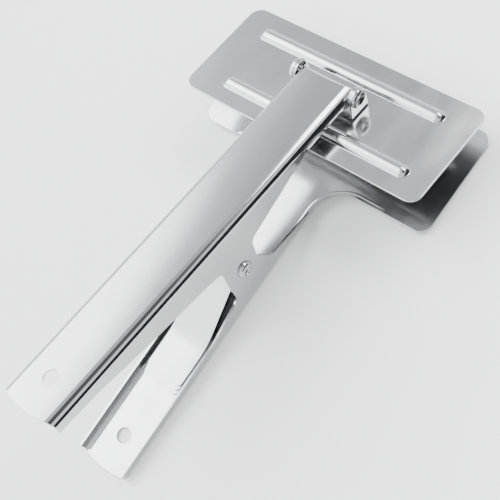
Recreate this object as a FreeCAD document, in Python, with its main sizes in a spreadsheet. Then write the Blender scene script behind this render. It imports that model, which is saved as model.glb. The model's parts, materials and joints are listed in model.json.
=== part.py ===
"""Flat-jaw spring clamp of pressed sheet steel, in millimetres.

Two channel-section handles turn on one rivet. Squeezing them opens two wide flat jaws, and a stack of
hairpin leaf springs round the rivet spreads the handles and shuts the jaws. The upper jaw plate swivels
on a pin in the nose of the upper arm.

Row frame: +Y towards the jaws, +Z up, +X across. The clamp lies on its lower arm, and the origin is
the centre of the bottom of its box. Each arm is drawn in a frame of its own: the origin on the rivet's
axis, +Y forward along the web and +Z square to the web. The jaw plate's frame has its origin on the pin.
"""
import FreeCAD
import Part
import Sketcher
import math
import os

from FreeCAD import Placement, Rotation, Vector

DIMENSIONS = {
    # sheet metal
    "gauge": 1.1,                # thickness of every pressed sheet
    "rest_angle": 12.93,         # between the two webs as stored, partly squeezed
    # upper arm, a channel open downwards
    "upper_half_width": 15.6,
    "upper_web_top": 34.9,       # above the rivet's axis
    "upper_bend": 4.6,
    "web_crown": 0.7,            # rise of the web across its width
    "upper_tail": 114.0,         # length behind the rivet
    "upper_ear_depth": 12.4,     # below the rivet's axis
    "upper_hole_back": 97.0,
    "nose_radius": 4.6,          # round the jaw pin
    "nose_reach": 4.2,           # in front of the jaw pin
    "lip_reach": 0.8,            # the web ends this far in front of the jaw pin
    "lip_radius": 2.2,
    "edge_round": 0.3,           # round the outline of both jaw plates
    # lower arm, a channel open upwards that widens into the lower jaw plate
    "lower_half_width": 14.4,
    "lower_web_foot": 26.6,      # below the rivet's axis
    "lower_bend": 3.0,
    "lower_tail": 114.0,
    "lower_ear_radius": 9.5,
    "lower_hole_back": 96.0,
    "rim_height": 6.0,           # beside the handle
    "neck_rim": 2.6,             # at the neck and behind the lower plate
    "neck_radius": 17.0,
    "rim_end": 46.0,             # half width over the rim behind the lower plate
    "plate_droop": 3.68,         # degrees between the lower web and its jaw plate
    "fold_length": 14.0,         # of the gentle bend between them
    "tail_radius": 45.0,
    "hang_radius": 4.0,
    # jaw plates
    "plate_width": 140.0,
    "plate_depth": 59.6,
    "plate_rear": 60.2,          # rear edge of the lower plate in front of the rivet
    "plate_corner": 6.5,
    "plate_back": 0.4,           # middle of the upper plate behind the jaw pin
    "rib_length": 110.0,
    "rib_width": 7.6,
    "rib_height": 2.3,
    "rib_foot": 0.5,             # fillet round the foot of a rib
    "front_rib": 16.8,           # in front of the middle of the plate
    "front_rib_shift": -1.0,     # the ribs are pressed a little off centre
    "rear_rib": -17.2,
    "rear_rib_shift": 3.0,
    # jaw pin and its saddle
    "pin_forward": 90.0,
    "pin_rise": 30.3,
    "pin_height": 10.4,          # above the top of the jaw plate
    "pin_radius": 2.5,
    "pin_head": 5.1,
    "pin_head_height": 1.5,
    "pin_dish": 3.5,
    "pin_dish_depth": 1.2,
    "saddle_half_width": 18.2,
    "saddle_depth": 12.0,
    "saddle_ear_radius": 5.2,
    "saddle_bend": 1.8,
    "washer_radius": 4.9,
    "washer_thick": 0.65,
    "jaw_rest_angle": 0.44,      # nose-down from the upper arm
    "running_gap": 0.05,
    # rivet, sleeve and springs
    "rivet_radius": 2.5,
    "rivet_head": 4.4,
    "rivet_head_height": 2.0,
    "rivet_dish": 2.2,
    "rivet_dish_depth": 1.7,
    "sleeve_radius": 3.4,
    "leaf_thick": 0.85,
    "leaf_gap": 0.05,
    "leaf_width": 22.0,
    "leaf_tip": 67.0,            # of the longest leaf, behind the rivet
    "leaf_step": 2.2,            # each inner leaf is this much shorter
    "leaf_corner": 3.0,
    "lower_limb_angle": 26.0,
    "upper_limb_angle": 30.0,
    "knee_radius": 38.0,
}

CUT_REACH = 400.0                # longer than any part, for cutting right through


def make_sheet(doc):
    """Put every driving dimension in the spreadsheet, one alias a row."""
    sheet = doc.addObject("Spreadsheet::Sheet", "dims")
    for row, (alias, value) in enumerate(DIMENSIONS.items(), start=1):
        sheet.set(f"A{row}", alias)
        sheet.set(f"B{row}", str(value))
        sheet.setAlias(f"B{row}", alias)
    doc.recompute()
    return sheet


# ---------------------------------------------------------------- outlines

def rounded_outline(corners, closed=True):
    """Lines and arcs through corners (a, b, radius), each corner rounded by its radius."""
    count = len(corners)
    points = [Vector(a, b, 0) for a, b, _ in corners]
    entries, exits, arcs = [], [], []
    for index, (_, _, radius) in enumerate(corners):
        here = points[index]
        at_end = not closed and index in (0, count - 1)
        if radius == 0 or at_end:
            entries.append(here)
            exits.append(here)
            arcs.append(None)
            continue
        back = (points[index - 1] - here).normalize()
        ahead = (points[(index + 1) % count] - here).normalize()
        half_angle = back.getAngle(ahead) / 2
        run = radius / math.tan(half_angle)
        bisector = (back + ahead).normalize()
        middle = here + bisector * (radius / math.sin(half_angle) - radius)
        entries.append(here + back * run)
        exits.append(here + ahead * run)
        arcs.append(Part.Arc(entries[-1], middle, exits[-1]))
    pieces = []
    for index in range(count):
        if arcs[index]:
            pieces.append(arcs[index])
        last = not closed and index == count - 1
        if not last:
            start = exits[index]
            end = entries[(index + 1) % count]
            if start.distanceToPoint(end) > 1e-6:
                pieces.append(Part.LineSegment(start, end))
    return pieces


def rectangle(low_a, high_a, low_b, high_b, radius=0):
    """Outline of a rectangle with equal corner radii."""
    return rounded_outline([(low_a, low_b, radius), (high_a, low_b, radius),
                            (high_a, high_b, radius), (low_a, high_b, radius)])


def tail_waste(half, tail, radius):
    """Outline of what is cut off behind the rounded end of a handle, seen from above."""
    side = half + 1
    rise = radius - math.sqrt(radius ** 2 - side ** 2)
    end = Part.Arc(Vector(-side, tail + rise, 0), Vector(0, tail, 0), Vector(side, tail + rise, 0))
    right, left = Vector(side, tail - 20, 0), Vector(-side, tail - 20, 0)
    return [end, Part.LineSegment(end.EndPoint, right), Part.LineSegment(right, left),
            Part.LineSegment(left, end.StartPoint)]


def face_in(plane, pieces):
    """A flat face in the XY, XZ or YZ plane from an outline drawn in two coordinates."""
    turn = {"XY": Rotation(), "XZ": Rotation(Vector(1, 0, 0), 90),
            "YZ": Rotation(Vector(1, 1, 1), 120)}[plane]
    face = Part.Face(Part.Wire([piece.toShape() for piece in pieces]))
    face.Placement = Placement(Vector(), turn)
    return face


def upright(outline):
    """A tall solid on an outline in plan, for trimming a sheet."""
    plan = face_in("XY", outline)
    plan.translate(Vector(0, 0, -CUT_REACH))
    return plan.extrude(Vector(0, 0, 2 * CUT_REACH))


# ---------------------------------------------------------------- features

def new_body(doc, name):
    body = doc.addObject("PartDesign::Body", name)
    body.Label = name
    return body


def new_sketch(body, name, plane, *outlines):
    """A sketch on one of the body's own origin planes."""
    support = next(item for item in body.Origin.OriginFeatures if item.Role == plane + "_Plane")
    sketch = body.newObject("Sketcher::SketchObject", name)
    sketch.AttachmentSupport = [(support, "")]
    sketch.MapMode = "FlatFace"
    for pieces in outlines:
        sketch.addGeometry(list(pieces), False)
    return sketch


def pad(body, name, sketch, length, back_length=None):
    """Pad both ways: length is an expression, and back_length too, or the pad is symmetric."""
    feature = body.newObject("PartDesign::Pad", name)
    feature.Profile = sketch
    feature.SideType = "Symmetric" if back_length is None else "Two sides"
    feature.setExpression("Length", length)
    if back_length:
        feature.setExpression("Length2", back_length)
    return feature


def pocket_through(body, name, sketch):
    """Cut right through on both sides of the sketch."""
    feature = body.newObject("PartDesign::Pocket", name)
    feature.Profile = sketch
    feature.SideType = "Symmetric"
    feature.Type = "Length"
    feature.Length = CUT_REACH
    return feature


def round_hole(body, name, plane, across, up, radius):
    """A round hole whose place and radius are bound to expressions."""
    sketch = new_sketch(body, name + "_sketch", plane, [Part.Circle(Vector(5, 5, 0), Vector(0, 0, 1), 1)])
    bound = (("Radius", (0,), "radius", radius), ("DistanceX", (-1, 1, 0, 3), "across", across),
             ("DistanceY", (-1, 1, 0, 3), "up", up))
    for kind, where, label, expression in bound:
        index = sketch.addConstraint(Sketcher.Constraint(kind, *where, 1.0))
        sketch.renameConstraint(index, label)
        sketch.setExpression("Constraints." + label, expression)
    return pocket_through(body, name, sketch)


def fillet_edges(body, name, radius, wanted):
    """Fillet the edges of the body's last feature that the test picks out."""
    body.Document.recompute()
    base = body.Tip
    names = [f"Edge{number}" for number, edge in enumerate(base.Shape.Edges, start=1) if wanted(edge)]
    feature = body.newObject("PartDesign::Fillet", name)
    feature.Base = (base, names)
    feature.setExpression("Radius", radius)
    return feature


def ring(doc, name, outer, inner, thick, start):
    """A ring along +X from start, made of two cylinders bound to expressions."""
    parts = []
    for suffix, radius in (("_outer", outer), ("_inner", inner)):
        cylinder = doc.addObject("Part::Cylinder", name + suffix)
        cylinder.setExpression("Radius", radius)
        cylinder.setExpression("Height", thick)
        cylinder.Placement = Placement(Vector(), Rotation(Vector(0, 1, 0), 90))
        cylinder.setExpression(".Placement.Base.x", start)
        parts.append(cylinder)
    cut = doc.addObject("Part::Cut", name)
    cut.Base, cut.Tool = parts
    cut.Label = name
    return cut


# ---------------------------------------------------------------- sub-parts

def channel_section(half_width, top, bend, crown, height):
    """Outline of a crowned U with its web at the top, as points of its outer or inner skin."""
    web_radius = (half_width ** 2 + crown ** 2) / (2 * crown)
    web_centre = top - web_radius
    bend_a = half_width - bend
    bend_b = web_centre + math.sqrt((web_radius - bend) ** 2 - bend_a ** 2)
    lean = math.atan2(bend_a, bend_b - web_centre)
    shoulder = Vector(web_radius * math.sin(lean), web_centre + web_radius * math.cos(lean), 0)
    middle = (math.pi / 2 - lean) / 2
    corner = Vector(bend_a + bend * math.cos(middle), bend_b + bend * math.sin(middle), 0)
    side = Vector(half_width, bend_b, 0)
    foot = Vector(half_width, top - height, 0)

    def mirrored(point):
        return Vector(-point.x, point.y, 0)

    return [
        Part.LineSegment(mirrored(foot), mirrored(side)),
        Part.Arc(mirrored(side), mirrored(corner), mirrored(shoulder)),
        Part.Arc(mirrored(shoulder), Vector(0, top, 0), shoulder),
        Part.Arc(shoulder, corner, side),
        Part.LineSegment(side, foot),
    ]


def upper_arm(doc, dims):
    """The upper handle: crowned channel, deep ears at the rivet and a nose for the jaw pin."""
    body = new_body(doc, "upper_arm")
    depth = dims.upper_web_top + dims.upper_ear_depth
    outer = channel_section(dims.upper_half_width, dims.upper_web_top, dims.upper_bend,
                            dims.web_crown, depth)
    inner = channel_section(dims.upper_half_width - dims.gauge, dims.upper_web_top - dims.gauge,
                            dims.upper_bend - dims.gauge, dims.web_crown, depth - dims.gauge)
    ends = [Part.LineSegment(outer[-1].EndPoint, inner[-1].EndPoint),
            Part.LineSegment(outer[0].StartPoint, inner[0].StartPoint)]
    section = new_sketch(body, "upper_section", "XZ", outer, inner, ends)
    pad(body, "upper_channel", section, "dims.upper_tail", "dims.pin_forward + dims.nose_reach")

    top = dims.upper_web_top
    ear = dims.upper_ear_depth
    pin, pin_rise, radius = dims.pin_forward, dims.pin_rise, dims.nose_radius
    nose = pin + dims.nose_reach
    profile = rounded_outline([
        # above the web, then the tail and the lower edge of the rear half
        (-dims.upper_tail - 5, top + 5, 0),
        (-dims.upper_tail + 1.6, 26.4, 1.5),
        (-88.0, 24.5, 60),
        (-58.6, 19.4, 60),
        (-26.0, 15.2, 14),
        # notch behind the ear, the ear round the rivet, and its front edge
        (-11.7, 12.8, 4),
        (-10.3, -ear + 0.4, 3),
        (13.4, -ear + 2.6, 3.4),
        (9.2, 0.5, 12),
        (9.2, 12.6, 4.5),
        # lower edge of the front half, and the nose round the jaw pin
        (53.4, 28.2, 5),
        (pin - 11.0, pin_rise - 0.8, 4),
        (pin - 2.6, pin_rise - radius, radius - 0.6),
        (nose, pin_rise - radius, radius - 0.5),
        (nose, pin_rise + radius, radius - 0.5),
        (pin - 5.0, top + 5, 0),
    ])
    beyond = rectangle(-CUT_REACH, CUT_REACH, -CUT_REACH, CUT_REACH)
    pocket_through(body, "side_trim", new_sketch(body, "side_trim_sketch", "YZ", beyond, profile))

    half = dims.upper_half_width
    waste = tail_waste(half, -dims.upper_tail, dims.tail_radius)
    pocket_through(body, "tail_trim", new_sketch(body, "tail_trim_sketch", "XY", waste))

    # the web ends over the pin in a soft lip, curled down between the walls
    inside = half - dims.gauge - dims.running_gap
    lip = pin + dims.lip_reach
    curl = lip - dims.lip_radius
    curl_low = top - dims.lip_radius
    fill = rectangle(curl - 0.1, lip + 0.1, curl_low - 0.1, top - 0.9)
    pad(body, "lip_metal", new_sketch(body, "lip_metal_sketch", "YZ", fill),
        "2 * (dims.upper_half_width - dims.upper_bend)")
    mouth = rectangle(-inside, inside, lip, nose + 10, 0.6)
    pocket_through(body, "web_trim", new_sketch(body, "web_trim_sketch", "XY", mouth))
    slant = dims.lip_radius * math.sqrt(0.5)
    over_lip = [Part.Arc(Vector(curl, top, 0), Vector(curl + slant, curl_low + slant, 0),
                         Vector(lip, curl_low, 0)),
                Part.LineSegment(Vector(lip, curl_low, 0), Vector(lip + 1, curl_low, 0)),
                Part.LineSegment(Vector(lip + 1, curl_low, 0), Vector(lip + 1, top + 1, 0)),
                Part.LineSegment(Vector(lip + 1, top + 1, 0), Vector(curl, top + 1, 0)),
                Part.LineSegment(Vector(curl, top + 1, 0), Vector(curl, top, 0))]
    curling = pocket_through(body, "lip_curl", new_sketch(body, "lip_curl_sketch", "YZ", over_lip))
    curling.Length = 2 * inside
    round_hole(body, "hanging_hole", "XY", "0", "-dims.upper_hole_back", "dims.hang_radius")
    round_hole(body, "rivet_bore", "YZ", "0", "0", "dims.rivet_radius")
    round_hole(body, "pin_bore", "YZ", "dims.pin_forward", "dims.pin_rise",
               "dims.pin_radius + dims.running_gap")
    return body


def lower_rim_section(dims):
    """Section of one wall of the lower arm: strip of web, bend and wall, wall outside at a = 0."""
    foot = -dims.lower_web_foot
    top = dims.lower_ear_radius + 1
    bend, gauge = dims.lower_bend, dims.gauge
    slant = math.sqrt(0.5)
    outer_mid = Vector(-bend + bend * slant, foot + bend - bend * slant, 0)
    inner = bend - gauge
    inner_mid = Vector(-bend + inner * slant, foot + bend - inner * slant, 0)
    strip = -bend - 1
    return [
        Part.LineSegment(Vector(strip, foot, 0), Vector(-bend, foot, 0)),
        Part.Arc(Vector(-bend, foot, 0), outer_mid, Vector(0, foot + bend, 0)),
        Part.LineSegment(Vector(0, foot + bend, 0), Vector(0, top, 0)),
        Part.LineSegment(Vector(0, top, 0), Vector(-gauge, top, 0)),
        Part.LineSegment(Vector(-gauge, top, 0), Vector(-gauge, foot + bend, 0)),
        Part.Arc(Vector(-gauge, foot + bend, 0), inner_mid, Vector(-bend, foot + gauge, 0)),
        Part.LineSegment(Vector(-bend, foot + gauge, 0), Vector(strip, foot + gauge, 0)),
        Part.LineSegment(Vector(strip, foot + gauge, 0), Vector(strip, foot, 0)),
    ]


def lower_rim(dims):
    """The right wall: straight beside the handle, round the neck, then out behind the jaw plate."""
    half = dims.lower_half_width
    turn_start = dims.plate_rear - dims.neck_radius
    section = face_in("XZ", lower_rim_section(dims))
    section.translate(Vector(half, -dims.lower_tail, 0))
    handle = section.extrude(Vector(0, turn_start + dims.lower_tail, 0))
    section.translate(Vector(0, turn_start + dims.lower_tail, 0))
    centre = Vector(half + dims.neck_radius, turn_start, 0)
    neck = section.revolve(centre, Vector(0, 0, 1), -90)
    section.rotate(centre, Vector(0, 0, 1), -90)
    behind = section.extrude(Vector(dims.rim_end - half - dims.neck_radius, 0, 0))
    return handle.fuse([neck, behind])


def lower_wall_limits(dims):
    """The solid that the lower walls are trimmed to: low rims, and ears up round the rivet."""
    foot = -dims.lower_web_foot
    rim = foot + dims.rim_height
    neck_rim = foot + dims.neck_rim
    ear = dims.lower_ear_radius
    below = foot - 2
    profile = rounded_outline([
        # below the web, then the rim of the handle
        (-CUT_REACH, below, 0),
        (-CUT_REACH, rim, 0),
        (-36.0, rim, 30),
        # rear flank, the ear round the rivet, and the front flank
        (-13.0, -14.6, 4),
        (-10.4, -3.0, 6),
        (-ear + 0.6, ear, ear - 2.5),
        (ear - 0.6, ear, ear - 2.5),
        (ear + 0.3, -6.0, 6),
        (14.4, -16.9, 4),
        # the low rim in front
        (43.0, neck_rim, 14),
        (CUT_REACH, neck_rim, 0),
        (CUT_REACH, below, 0),
    ])
    side = face_in("YZ", profile)
    half = dims.lower_half_width + 0.5
    side.translate(Vector(-half, 0, 0))
    walls = side.extrude(Vector(2 * half, 0, 0))

    low = foot + dims.gauge + 0.2
    turn_end = dims.lower_half_width + dims.neck_radius
    falling = rounded_outline([
        (-dims.rim_end - 1, below, 0), (-dims.rim_end - 1, low, 0), (-turn_end, neck_rim, 25),
        (turn_end, neck_rim, 25), (dims.rim_end + 1, low, 0), (dims.rim_end + 1, below, 0),
    ])
    front = face_in("XZ", falling)
    front.translate(Vector(0, dims.plate_rear + 10, 0))
    flare = front.extrude(Vector(0, -(dims.neck_radius + 12), 0))
    return walls.fuse(flare)


def fold_start(dims):
    """The gentle bend starts just in front of the rim behind the plate."""
    return dims.plate_rear + dims.lower_bend + 1


def plate_drop(dims, forward):
    """How far the flat of the lower jaw plate lies below the plane of the web at this place."""
    droop = math.radians(dims.plate_droop)
    radius = dims.fold_length / droop
    fold_end = fold_start(dims) + radius * math.sin(droop)
    return radius * (1 - math.cos(droop)) + (forward - fold_end) * math.tan(droop)


def bent_sheet(dims):
    """The lower web, the gentle bend and the plate in side view, as wide as the plate."""
    foot, gauge = -dims.lower_web_foot, dims.gauge
    start = fold_start(dims)
    droop = math.radians(dims.plate_droop)
    radius = dims.fold_length / droop
    centre = Vector(start, foot + gauge - radius, 0)
    front = Vector(math.cos(droop), -math.sin(droop), 0) * dims.plate_depth

    def around(angle, depth):
        return centre + Vector(math.sin(angle), math.cos(angle), 0) * (radius - depth)

    skins = []
    for depth in (0, gauge):
        level = foot + gauge - depth
        bend_end = around(droop, depth)
        skins.append([Part.LineSegment(Vector(-dims.lower_tail, level, 0), Vector(start, level, 0)),
                      Part.Arc(Vector(start, level, 0), around(droop / 2, depth), bend_end),
                      Part.LineSegment(bend_end, bend_end + front)])
    top, bottom = skins
    ends = [Part.LineSegment(top[0].StartPoint, bottom[0].StartPoint),
            Part.LineSegment(top[-1].EndPoint, bottom[-1].EndPoint)]
    side = face_in("YZ", [ends[0], *top, ends[1], *reversed(bottom)])
    side.translate(Vector(-dims.plate_width / 2, 0, 0))
    return side.extrude(Vector(dims.plate_width, 0, 0))


def lower_arm(doc, dims):
    """One pressing: handle channel, ears, neck and lower jaw plate, with a rim that runs out
    along the plate's rear edge. The swept rim needs plain shapes, so this is a Part::Feature."""
    foot = -dims.lower_web_foot
    half = dims.lower_half_width
    gauge = dims.gauge
    bend = dims.lower_bend
    right = lower_rim(dims)
    left = right.mirror(Vector(), Vector(1, 0, 0))
    walls = right.fuse(left).common(lower_wall_limits(dims))

    # the flat sheet in plan: the web, cut back where the rim stands, and the jaw plate
    inner = half - bend - 0.5
    rim_inside = dims.plate_rear + bend + 0.5
    fillet = dims.neck_radius + bend
    web = rounded_outline([
        (-inner, -dims.lower_tail, 0), (inner, -dims.lower_tail, 0),
        (inner, rim_inside, fillet), (dims.rim_end, rim_inside, 0), (dims.rim_end, rim_inside + 1.5, 0),
        (-dims.rim_end, rim_inside + 1.5, 0), (-dims.rim_end, rim_inside, 0), (-inner, rim_inside, fillet),
    ])
    wide = dims.plate_width / 2
    front = dims.plate_rear + dims.plate_depth * math.cos(math.radians(dims.plate_droop))
    plate = rectangle(-wide, wide, dims.plate_rear, front, dims.plate_corner)
    rim_strip = rectangle(-dims.rim_end, dims.rim_end, dims.plate_rear - 1, rim_inside + 0.5)
    plan = upright(plate).cut(upright(rim_strip)).fuse(upright(web))
    pressed = bent_sheet(dims).common(plan).removeSplitter()
    border = [edge for edge in pressed.Edges if edge.Length > 2 * gauge
              and (abs(edge.CenterOfMass.x) > dims.rim_end + 3
                   or edge.CenterOfMass.y > front - dims.plate_corner)]
    pressed = pressed.makeFillet(dims.edge_round, border)

    hole = Part.makeCylinder(dims.hang_radius, 20, Vector(0, -dims.lower_hole_back, foot - 10))
    bore_radius = dims.rivet_radius + dims.running_gap
    bore = Part.makeCylinder(bore_radius, CUT_REACH, Vector(-CUT_REACH / 2, 0, 0), Vector(1, 0, 0))
    waste = upright(tail_waste(half, -dims.lower_tail, dims.tail_radius))
    shape = pressed.fuse(walls).cut([waste, hole, bore]).removeSplitter()
    feature = doc.addObject("Part::Feature", "lower_arm")
    feature.Label = "lower_arm"
    feature.Shape = shape
    return feature


def rib_tool(doc, name, rib, shrink):
    """A capsule along X whose top stands out of the plate as one rib; shrink makes it the hollow."""
    skin = "(dims.rib_width^2 / 4 + dims.rib_height^2) / (2 * dims.rib_height)"
    run = "(dims.rib_length - dims.rib_width) / 2"
    parts = []
    bar = doc.addObject("Part::Cylinder", name + "_bar")
    bar.setExpression("Height", f"2 * ({run})")
    bar.Placement = Placement(Vector(), Rotation(Vector(0, 1, 0), 90))
    bar.setExpression(".Placement.Base.x", f"dims.{rib}_shift - {run}")
    parts.append(bar)
    for side, sign in (("_left", "-"), ("_right", "+")):
        end = doc.addObject("Part::Sphere", name + side)
        end.setExpression(".Placement.Base.x", f"dims.{rib}_shift {sign} {run}")
        parts.append(end)
    for item in parts:
        item.setExpression("Radius", f"{skin} - {shrink}")
        item.setExpression(".Placement.Base.y", f"dims.{rib} - dims.plate_back")
        item.setExpression(".Placement.Base.z", f"dims.rib_height - dims.pin_height - {skin}")
    tool = doc.addObject("Part::MultiFuse", name)
    tool.Shapes = parts
    return tool


def upper_jaw_plate(doc, dims):
    """The swivelling jaw plate, stiffened by two long ribs pressed up out of the sheet."""
    wide, deep, back = dims.plate_width / 2, dims.plate_depth / 2, dims.plate_back
    blank = new_body(doc, "plate_blank")
    outline = rectangle(-wide, wide, -deep - back, deep - back, dims.plate_corner)
    sheet_outline = new_sketch(blank, "plate_outline", "XY", outline)
    sheet_outline.setExpression("AttachmentOffset.Base.z", "-dims.pin_height - dims.gauge / 2")
    pad(blank, "plate_sheet", sheet_outline, "dims.gauge")
    fillet_edges(blank, "plate_edges", "dims.edge_round", lambda edge: edge.BoundBox.ZLength < 1e-6)

    slab = doc.addObject("Part::Box", "rib_slab")
    slab.setExpression("Length", "dims.plate_width")
    slab.setExpression("Width", "dims.plate_depth")
    slab.setExpression("Height", "dims.rib_height + dims.gauge")
    slab.setExpression(".Placement.Base.x", "-dims.plate_width / 2")
    slab.setExpression(".Placement.Base.y", "-dims.plate_depth / 2 - dims.plate_back")
    slab.setExpression(".Placement.Base.z", "-dims.pin_height - dims.gauge")
    ribs = ("front_rib", "rear_rib")
    skins = doc.addObject("Part::MultiFuse", "rib_skins")
    skins.Shapes = [rib_tool(doc, rib + "_skin", rib, "0") for rib in ribs]
    hollows = doc.addObject("Part::MultiFuse", "rib_hollows")
    hollows.Shapes = [rib_tool(doc, rib + "_hollow", rib, "dims.gauge") for rib in ribs]
    pressed = doc.addObject("Part::MultiCommon", "rib_metal")
    pressed.Shapes = [slab, skins]
    raised = doc.addObject("Part::MultiFuse", "ribbed_sheet")
    raised.Shapes = [blank, pressed]
    raised.Refine = True
    cut = doc.addObject("Part::Cut", "ribbed_hollow_sheet")
    cut.Base, cut.Tool = raised, hollows
    doc.recompute()
    top = -dims.pin_height
    feet = [number for number, edge in enumerate(cut.Shape.Edges, start=1)
            if edge.BoundBox.ZLength < 0.01 and abs(edge.CenterOfMass.z - top) < 0.01
            and abs(edge.CenterOfMass.x) < wide - dims.plate_corner
            and abs(edge.CenterOfMass.y + back) < deep - dims.plate_corner]
    plate = doc.addObject("Part::Fillet", "upper_jaw_plate")
    plate.Base = cut
    plate.Edges = [(number, dims.rib_foot, dims.rib_foot) for number in feet]
    plate.Label = "upper_jaw_plate"
    return plate


def jaw_saddle(doc, dims):
    """U-bracket welded to the jaw plate, with two round-topped ears for the pin."""
    body = new_body(doc, "jaw_saddle")
    deep, radius = dims.saddle_depth / 2, dims.saddle_ear_radius
    base = -dims.pin_height
    ear = rounded_outline([(-deep, base, 0), (deep, base, 0), (deep, base + 3, 2),
                           (radius, 0, 4), (radius - 0.2, radius, radius - 0.4),
                           (-radius + 0.2, radius, radius - 0.4), (-radius, 0, 4), (-deep, base + 3, 2)])
    pad(body, "saddle_block", new_sketch(body, "ear_outline", "YZ", ear), "2 * dims.saddle_half_width")
    wall = dims.saddle_half_width
    fillet_edges(body, "saddle_bends", "dims.saddle_bend", lambda edge: (
        abs(abs(edge.CenterOfMass.x) - wall) < 0.01 and abs(edge.CenterOfMass.z - base) < 0.01))
    inside = wall - dims.gauge
    space = rectangle(-inside, inside, base + dims.gauge, radius + 30, dims.saddle_bend - dims.gauge)
    pocket_through(body, "saddle_space", new_sketch(body, "space_outline", "XZ", space))
    round_hole(body, "ear_bore", "YZ", "0", "0", "dims.pin_radius")
    return body


def dished_rivet(doc, dims, name, radius, face, head, height, dish, depth):
    """A shank along X with a round-edged, dished head outside each face."""
    crest = face + height
    bottom = crest - depth
    slant = height * math.sqrt(0.5)
    bowl = (dish ** 2 + depth ** 2) / (2 * depth)
    half_way = bottom + bowl - math.sqrt(bowl ** 2 - dish ** 2 / 4)

    def end(sign):
        """Outline of one end in (x, r): under the head, its round edge, its crest and the dish."""
        def at(across, out):
            return Vector(sign * across, out, 0)
        return [
            Part.LineSegment(at(face, radius), at(face, head)),
            Part.Arc(at(face, head), at(face + slant, head - height + slant), at(crest, head - height)),
            Part.LineSegment(at(crest, head - height), at(crest, dish)),
            Part.Arc(at(crest, dish), at(half_way, dish / 2), at(bottom, 0)),
        ]

    body = new_body(doc, name)
    lines = [Part.LineSegment(Vector(-face, radius, 0), Vector(face, radius, 0)),
             Part.LineSegment(Vector(-bottom, 0, 0), Vector(bottom, 0, 0))]
    profile = new_sketch(body, name + "_profile", "XY", end(1), end(-1), lines)
    turned = body.newObject("PartDesign::Revolution", name + "_turned")
    turned.Profile = profile
    turned.ReferenceAxis = (profile, ["H_Axis"])
    turned.Angle = 360
    return body


def jaw_washers(doc):
    """Two washers on each side, filling the space between the nose of the arm and the ears."""
    washers = []
    inner_face = "dims.upper_half_width + dims.running_gap"
    outer_face = "dims.saddle_half_width - dims.gauge - dims.washer_thick"
    for name, place in (("jaw_washer_inner", inner_face), ("jaw_washer_outer", outer_face)):
        for side in ("left", "right"):
            start = place if side == "right" else f"-({place}) - dims.washer_thick"
            washers.append(ring(doc, f"{name}_{side}", "dims.washer_radius",
                                "dims.pin_radius + dims.running_gap", "dims.washer_thick", start))
    return washers


def leaf_path(dims, offset):
    """Corners of one skin of a hairpin leaf, in (y, z) of the lower arm's frame.

    The outermost skin rests on both webs. Offset is the distance from it towards the inside."""
    outer = dims.sleeve_radius + 3 * (dims.leaf_thick + dims.leaf_gap)
    round_radius = outer - offset
    low_web = -dims.lower_web_foot + dims.gauge + dims.leaf_gap + offset
    high_web = dims.upper_web_top - dims.web_crown - dims.gauge - dims.leaf_gap - offset
    tip = dims.leaf_tip - dims.leaf_step * round(offset / (dims.leaf_thick + dims.leaf_gap) - 0.45)

    def limb(web, angle, knee):
        """Foot, knee and the foot of the tangent to the round, for a limb at this angle."""
        slope = math.radians(angle)
        rise = round_radius / math.cos(slope)
        run = (abs(web) - rise) / math.tan(slope)
        sign = math.copysign(1, web)
        return [Vector(-tip, web, 0), Vector(-run, web, knee)], Vector(0, sign * rise, sign * slope)

    low, low_line = limb(low_web, dims.lower_limb_angle, dims.knee_radius - offset)
    high, high_line = limb(high_web, dims.upper_limb_angle, dims.knee_radius - offset)
    turn = math.radians(-dims.rest_angle)
    low_slope = math.radians(dims.lower_limb_angle)
    high_slope = math.radians(dims.upper_limb_angle + dims.rest_angle)
    high_rise = round_radius / math.cos(high_slope)
    apex_y = (high_rise - low_line.y) / (math.tan(low_slope) + math.tan(high_slope))
    apex_z = low_line.y + apex_y * math.tan(low_slope)
    turned = [(p.x * math.cos(turn) - p.y * math.sin(turn),
               p.x * math.sin(turn) + p.y * math.cos(turn), p.z) for p in high]
    return [(low[0].x, low[0].y, 0), (low[1].x, low[1].y, low[1].z),
            (apex_y, apex_z, round_radius), turned[1], (turned[0][0], turned[0][1], 0)]


def spring_leaf(doc, dims, name, number):
    """One leaf of the hairpin spring: number 0 is the outer, longest one."""
    near = number * (dims.leaf_thick + dims.leaf_gap)
    outside = rounded_outline(leaf_path(dims, near), closed=False)
    inside = rounded_outline(leaf_path(dims, near + dims.leaf_thick), closed=False)
    ends = [Part.LineSegment(outside[0].StartPoint, inside[0].StartPoint),
            Part.LineSegment(outside[-1].EndPoint, inside[-1].EndPoint)]
    body = new_body(doc, name)
    pad(body, name + "_strip", new_sketch(body, name + "_edge", "YZ", outside, inside, ends),
        "dims.leaf_width")
    half = dims.leaf_width / 2
    fillet_edges(body, name + "_corners", "dims.leaf_corner", lambda edge: (
        abs(edge.Length - dims.leaf_thick) < 0.02 and abs(abs(edge.CenterOfMass.x) - half) < 0.01))
    return body


# ---------------------------------------------------------------- assembly

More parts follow.
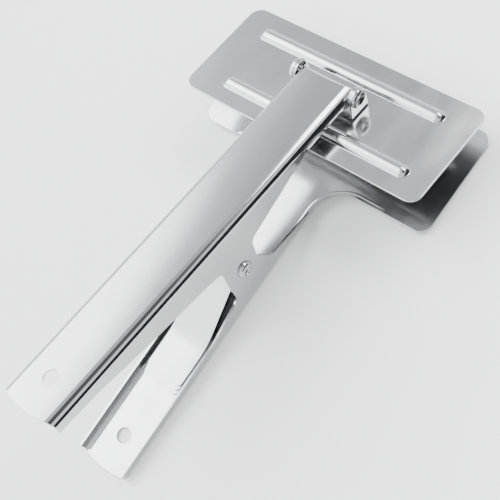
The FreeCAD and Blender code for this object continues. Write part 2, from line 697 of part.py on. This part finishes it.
def place_all(items, dims):
    """Turn the arms and the jaw to the stored pose and stand the clamp on its lower arm."""
    across = Vector(1, 0, 0)
    plate_front = dims.plate_rear + dims.plate_depth * math.cos(math.radians(dims.plate_droop))
    tilt = math.degrees(math.atan2(plate_drop(dims, plate_front), plate_front + dims.lower_tail))
    level = Placement(Vector(), Rotation(across, tilt))
    upper = level.multiply(Placement(Vector(), Rotation(across, -dims.rest_angle)))
    jaw = upper.multiply(Placement(Vector(0, dims.pin_forward, dims.pin_rise),
                                   Rotation(across, -dims.jaw_rest_angle)))
    frames = {"lower": level, "upper": upper, "jaw": jaw}
    solids = []
    for item, frame in items:
        shape = item.Shape.copy()
        shape.Placement = frames[frame].multiply(item.Placement)
        solids.append(shape)
    box = Part.makeCompound(solids).optimalBoundingBox(False)
    shift = Placement(Vector(0, -(box.YMin + box.YMax) / 2, -box.ZMin), Rotation())
    for item, frame in items:
        item.Placement = shift.multiply(frames[frame]).multiply(item.Placement)
    for name, frame in frames.items():
        origin = shift.multiply(frame).Base
        print(f"{name} frame origin: {origin.x:.4f} {origin.y:.4f} {origin.z:.4f}")
    print(f"tilt of the lower web: {tilt:.4f}")


def check_document(doc, items):
    """Stop if any feature failed or any sub-part is empty or broken."""
    for item in doc.Objects:
        if "Invalid" in item.State or "Error" in item.State:
            raise RuntimeError(f"{item.Name} failed: {item.State}")
    for item, _ in items:
        if item.Shape.isNull() or not item.Shape.isValid():
            raise RuntimeError(f"{item.Label} has no valid shape")
        if not item.Shape.Solids:
            raise RuntimeError(f"{item.Label} has no solid")


def main():
    doc = FreeCAD.newDocument("spring_clamp")
    dims = make_sheet(doc)
    items = [(lower_arm(doc, dims), "lower"),
             (upper_arm(doc, dims), "upper"),
             (upper_jaw_plate(doc, dims), "jaw"),
             (jaw_saddle(doc, dims), "jaw"),
             (dished_rivet(doc, dims, "jaw_pin", dims.pin_radius, dims.saddle_half_width, dims.pin_head,
                           dims.pin_head_height, dims.pin_dish, dims.pin_dish_depth), "jaw"),
             (dished_rivet(doc, dims, "pivot_rivet", dims.rivet_radius, dims.upper_half_width,
                           dims.rivet_head, dims.rivet_head_height, dims.rivet_dish,
                           dims.rivet_dish_depth), "upper"),
             (ring(doc, "pivot_sleeve", "dims.sleeve_radius", "dims.rivet_radius + dims.running_gap",
                   "2 * (dims.lower_half_width - dims.gauge - dims.running_gap)",
                   "-(dims.lower_half_width - dims.gauge - dims.running_gap)"), "lower")]
    items += [(washer, "jaw") for washer in jaw_washers(doc)]
    for number, name in enumerate(("spring_leaf_outer", "spring_leaf_middle", "spring_leaf_inner")):
        items.append((spring_leaf(doc, dims, name, number), "lower"))
    doc.recompute()
    check_document(doc, items)
    place_all(items, dims)
    doc.recompute()
    check_document(doc, items)
    os.makedirs("parts", exist_ok=True)
    for item, _ in items:
        print(f"{item.Label}: {len(item.Shape.Solids)} solid, {item.Shape.Volume:.1f} mm3")
        item.Shape.exportStep(f"parts/{item.Label}.step")


main()
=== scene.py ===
"""Looks of the flat-jaw spring clamp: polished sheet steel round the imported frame."""

import json
import math

import bmesh
import bpy
from mathutils import Matrix, Vector


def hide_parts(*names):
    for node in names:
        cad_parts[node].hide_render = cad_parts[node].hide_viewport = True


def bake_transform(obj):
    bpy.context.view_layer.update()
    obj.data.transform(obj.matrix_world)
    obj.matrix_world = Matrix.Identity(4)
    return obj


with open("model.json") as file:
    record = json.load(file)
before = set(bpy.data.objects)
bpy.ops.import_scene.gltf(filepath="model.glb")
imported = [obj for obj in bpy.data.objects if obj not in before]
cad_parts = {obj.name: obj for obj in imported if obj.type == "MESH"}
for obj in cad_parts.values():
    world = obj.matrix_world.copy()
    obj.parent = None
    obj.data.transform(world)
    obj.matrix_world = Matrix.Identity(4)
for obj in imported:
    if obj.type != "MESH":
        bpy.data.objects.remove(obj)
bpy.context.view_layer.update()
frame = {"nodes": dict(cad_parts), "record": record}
nodes = frame["nodes"]


# ---------------------------------------------------------------- materials

class Shader:
    """A small helper that builds one node material around a Principled shader."""

    def __init__(self, name):
        self.material = bpy.data.materials.new(name)
        self.material.use_nodes = True
        self.tree = self.material.node_tree
        self.tree.nodes.clear()
        self.surface = self.node("ShaderNodeBsdfPrincipled")
        output = self.node("ShaderNodeOutputMaterial")
        self.link(self.surface.outputs["BSDF"], output.inputs["Surface"])
        self.place = self.node("ShaderNodeTexCoord").outputs["Object"]

    def node(self, kind, **settings):
        made = self.tree.nodes.new(kind)
        for key, value in settings.items():
            setattr(made, key, value)
        return made

    def link(self, source, target):
        self.tree.links.new(source, target)

    def noise(self, scale, detail=3.0, stretch=(1, 1, 1), roughness=0.55):
        """Noise in object space, stretched along an axis where its factor is small."""
        mapping = self.node("ShaderNodeMapping")
        mapping.inputs["Scale"].default_value = stretch
        self.link(self.place, mapping.inputs["Vector"])
        texture = self.node("ShaderNodeTexNoise")
        texture.inputs["Scale"].default_value = scale
        texture.inputs["Detail"].default_value = detail
        texture.inputs["Roughness"].default_value = roughness
        self.link(mapping.outputs["Vector"], texture.inputs["Vector"])
        return texture.outputs["Fac"]

    def spread(self, source, low, high, to_low, to_high):
        """Map a range of a texture to a range of values."""
        ranges = self.node("ShaderNodeMapRange")
        ranges.inputs["From Min"].default_value = low
        ranges.inputs["From Max"].default_value = high
        ranges.inputs["To Min"].default_value = to_low
        ranges.inputs["To Max"].default_value = to_high
        self.link(source, ranges.inputs["Value"])
        return ranges.outputs["Result"]

    def mix(self, factor, first, second):
        blend = self.node("ShaderNodeMix", data_type="RGBA")
        self.link(factor, blend.inputs["Factor"])
        blend.inputs["A"].default_value = (*first, 1)
        blend.inputs["B"].default_value = (*second, 1)
        return blend.outputs["Result"]

    def bump(self, height, strength, distance):
        relief = self.node("ShaderNodeBump")
        relief.inputs["Strength"].default_value = strength
        relief.inputs["Distance"].default_value = distance
        self.link(height, relief.inputs["Height"])
        self.link(relief.outputs["Normal"], self.surface.inputs["Normal"])


SCRATCH_STRENGTH = 0.008
SCRATCH_DEPTH = 0.00012


def grey(level):
    """Steel is very slightly blue."""
    return (level, level, level + 0.01)


def steel(name, light, dark, smooth):
    """Polished or satin steel: faint clouding between two greys, haze about the middle
    roughness smooth, and fine scratches."""
    shader = Shader(name)
    shader.surface.inputs["Metallic"].default_value = 1.0
    clouds = shader.noise(18.0, 4.0)
    tint = shader.mix(shader.spread(clouds, 0.3, 0.7, 0.0, 1.0), grey(dark), grey(light))
    shader.link(tint, shader.surface.inputs["Base Color"])
    haze = shader.noise(90.0, 5.0, stretch=(1.0, 0.25, 1.0))
    shader.link(shader.spread(haze, 0.3, 0.75, smooth * 0.75, smooth * 1.35),
                shader.surface.inputs["Roughness"])
    scratches = shader.noise(900.0, 2.0, stretch=(1.0, 0.06, 1.0))
    shader.bump(scratches, SCRATCH_STRENGTH, SCRATCH_DEPTH)
    return shader.material


polished = steel("polished_steel", light=0.47, dark=0.42, smooth=0.11)
lower_polish = steel("lower_steel", light=0.47, dark=0.42, smooth=0.165)
jaw_polish = steel("jaw_steel", light=0.48, dark=0.43, smooth=0.16)
rivet_metal = steel("rivet_steel", light=0.46, dark=0.38, smooth=0.14)
spring_metal = steel("spring_steel", light=0.46, dark=0.39, smooth=0.20)

LEAVES = ("spring_leaf_outer", "spring_leaf_middle", "spring_leaf_inner")

# the rivet, the pin, the sleeve and the washers, which are not listed, are of rivet_metal
MATERIALS = {
    "lower_arm": lower_polish,
    "upper_arm": polished,
    "upper_jaw_plate": jaw_polish,
    "jaw_saddle": jaw_polish,
    **dict.fromkeys(LEAVES, spring_metal),
}
for node_name, thing in nodes.items():
    material = MATERIALS.get(node_name, rivet_metal)
    for slot in thing.material_slots:
        slot.material = material


# ---------------------------------------------------------------- leaf springs

LEAF_STEP = 0.002                 # length of the pieces that a leaf is cut into
LEAF_EDGE = 0.00012               # radius of its soft edges


def flexing_leaf(name):
    """A spring leaf cut into short lengths, with soft edges, in place of the imported leaf, which is
    hidden.
    """
    source = nodes[name]
    strip = bmesh.new()
    strip.from_mesh(source.data)
    strip.transform(source.matrix_world)
    for axis in (1, 2):
        places = [vertex.co[axis] for vertex in strip.verts]
        cut = min(places) + LEAF_STEP
        while cut < max(places) - LEAF_STEP / 2:
            where = Vector()
            facing = Vector()
            where[axis] = cut
            facing[axis] = 1
            bmesh.ops.bisect_plane(strip, geom=strip.verts[:] + strip.edges[:] + strip.faces[:],
                                   plane_co=where, plane_no=facing, dist=1e-6)
            cut += LEAF_STEP
    for face in strip.faces:
        face.smooth = True
    for edge in strip.edges:
        edge.smooth = edge.calc_face_angle(0) < math.radians(30)
    data = bpy.data.meshes.new(name + "_flex")
    strip.to_mesh(data)
    strip.free()
    leaf = bpy.data.objects.new(name + "_flex", data)
    bpy.context.scene.collection.objects.link(leaf)
    data.materials.append(spring_metal)
    bevel = leaf.modifiers.new("soft_edges", "BEVEL")
    bevel.width = LEAF_EDGE
    bevel.segments = 2
    bevel.limit_method = "ANGLE"
    bevel.angle_limit = math.radians(40)
    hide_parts(name)
    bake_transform(leaf)


for leaf_name in LEAVES:
    flexing_leaf(leaf_name)


# ---------------------------------------------------------------- camera and stage

PLATE = 0.140                     # long side of the jaw plate, the camera's unit of length
joints = {joint["name"]: joint for joint in frame["record"]["behaviour"]["joints"]}
pin = Vector(joints["jaw_swivel"]["pos_m"])
PLATE_TILT = math.radians(-12.605)
PIN_HEIGHT = 0.0104               # of the pin above the plate
PLATE_BACK = 0.0004               # middle of the plate behind the pin
plate_frame = (Matrix.Translation(pin)
               @ Matrix.Rotation(PLATE_TILT, 4, "X")
               @ Matrix.Translation((0, -PLATE_BACK, -PIN_HEIGHT)))

# the camera's place, in plate widths, and its axes, in the frame of the upper jaw plate
EYE = Vector((1.725, -1.660, 2.748)) * PLATE
RIGHT = Vector((0.7531, 0.6294, -0.1914))
DOWN = Vector((0.4605, -0.7122, -0.5298))
AHEAD = Vector((-0.4698, 0.3108, -0.8262))

camera_data = bpy.data.cameras.new("camera")
camera_data.sensor_width = 36
camera_data.lens = 75.74
camera = bpy.data.objects.new("camera", camera_data)
bpy.context.scene.collection.objects.link(camera)
camera_axes = Matrix((RIGHT, -DOWN, -AHEAD)).transposed().to_4x4()
camera.matrix_world = plate_frame @ Matrix.Translation(EYE) @ camera_axes
bpy.context.scene.camera = camera


def direction(azimuth, elevation):
    """Unit vector; azimuth in degrees from +Y towards +X."""
    turn = math.radians(azimuth)
    rise = math.radians(elevation)
    return Vector((math.sin(turn) * math.cos(rise), math.cos(turn) * math.cos(rise), math.sin(rise)))


def facing_centre(thing, place):
    """Put a light at a place, turned towards the origin."""
    thing.location = place
    thing.rotation_euler = (-place).to_track_quat("-Z", "Y").to_euler()


def softbox(name, azimuth, elevation, width, height, brightness, distance=1.2):
    """A rectangular light, its width and height in degrees as seen from the clamp, and as bright
    as stated wherever the steel mirrors it."""
    data = bpy.data.lights.new(name, "AREA")
    data.shape = "RECTANGLE"
    data.size = 2 * distance * math.tan(math.radians(width / 2))
    data.size_y = 2 * distance * math.tan(math.radians(height / 2))
    data.energy = brightness * math.pi * data.size * data.size_y
    light = bpy.data.objects.new(name, data)
    facing_centre(light, direction(azimuth, elevation) * distance)
    bpy.context.scene.collection.objects.link(light)


def plain(name, light, dark):
    """A matt material between two colours."""
    shader = Shader(name)
    shader.surface.inputs["Roughness"].default_value = 0.9
    shader.surface.inputs["Specular IOR Level"].default_value = 0.1
    shader.link(shader.mix(shader.noise(60.0, 2.0), dark, light), shader.surface.inputs["Base Color"])
    return shader.material


def plain_floor():
    """The pale floor that the clamp lies on."""
    bpy.ops.mesh.primitive_plane_add(size=6, location=(0, 0, 0))
    floor = bpy.context.object
    floor.name = "floor"
    floor.data.materials.append(plain("floor", (0.90, 0.90, 0.90), (0.88, 0.88, 0.88)))


CARD_LIFT = 0.0005                # lowest middle of a card above the floor


def dark_card(name, azimuth, distance, width, low, high, lean=0.0):
    """A black card beside the clamp, hidden from the camera: only its reflection in the steel
    shows. Low and high are its edges before it leans back by lean degrees."""
    bpy.ops.mesh.primitive_plane_add(size=1)
    card = bpy.context.object
    card.name = name
    card.scale = (width, high - low, 1)
    place = direction(azimuth, 0) * distance
    card.location = (place.x, place.y, max((low + high) / 2, CARD_LIFT))
    card.rotation_euler = (math.radians(90 - lean), 0, math.radians(-azimuth))
    card.data.materials.append(plain(name, (0.012, 0.012, 0.012), (0.008, 0.008, 0.008)))
    card.visible_camera = False
    card.visible_diffuse = False
    card.visible_shadow = False


TENT_LEVEL = 1.85
# soft round patches of the tent: azimuth, elevation, outer and inner radius in degrees, and how
# much brighter or darker they are than the rest
TENT_PATCHES = (
    (-85, 45, 34, 23, 0.9),       # glow from the left, with a brighter middle
    (-85, 45, 27, 17, 6.0),
    (-125, 38, 45, 22, 3.5),      # glow from behind on the left
    (-25, 52, 30, 14, -0.75),     # greyer in front on the left
    (62, 58, 27, 13, -1.65),      # dark in front on the right
)


def studio_world():
    """A pale tent round the clamp, with brighter and darker patches."""
    tent = bpy.data.worlds.new("studio")
    tent.use_nodes = True
    tree = tent.node_tree
    background = tree.nodes["Background"]
    background.inputs["Color"].default_value = (0.98, 0.99, 1.0, 1)
    place = tree.nodes.new("ShaderNodeTexCoord").outputs["Generated"]

    def patch(azimuth, elevation, outer, inner, amount):
        """A soft round patch that adds amount, from its outer edge in to its full strength."""
        along = tree.nodes.new("ShaderNodeVectorMath")
        along.operation = "DOT_PRODUCT"
        along.inputs[1].default_value = direction(azimuth, elevation)
        tree.links.new(place, along.inputs[0])
        soft = tree.nodes.new("ShaderNodeMapRange")
        soft.interpolation_type = "SMOOTHSTEP"
        soft.inputs["From Min"].default_value = math.cos(math.radians(outer))
        soft.inputs["From Max"].default_value = math.cos(math.radians(inner))
        soft.inputs["To Max"].default_value = amount
        tree.links.new(along.outputs["Value"], soft.inputs["Value"])
        return soft.outputs["Result"]

    total = None
    for values in TENT_PATCHES:
        add = tree.nodes.new("ShaderNodeMath")
        add.inputs[1].default_value = TENT_LEVEL
        tree.links.new(patch(*values), add.inputs[0])
        if total:
            tree.links.new(total, add.inputs[1])
        total = add.outputs["Value"]
    tree.links.new(total, background.inputs["Strength"])
    bpy.context.scene.world = tent


plain_floor()
studio_world()
softbox("front_box", 10, 44.5, 40, 17, 13.0)
dark_card("right_flag", 72, 0.24, 0.5, 0.0, 0.135)
dark_card("right_floor_flag", 72, 0.195, 0.5, -0.045, 0.045, lean=90)
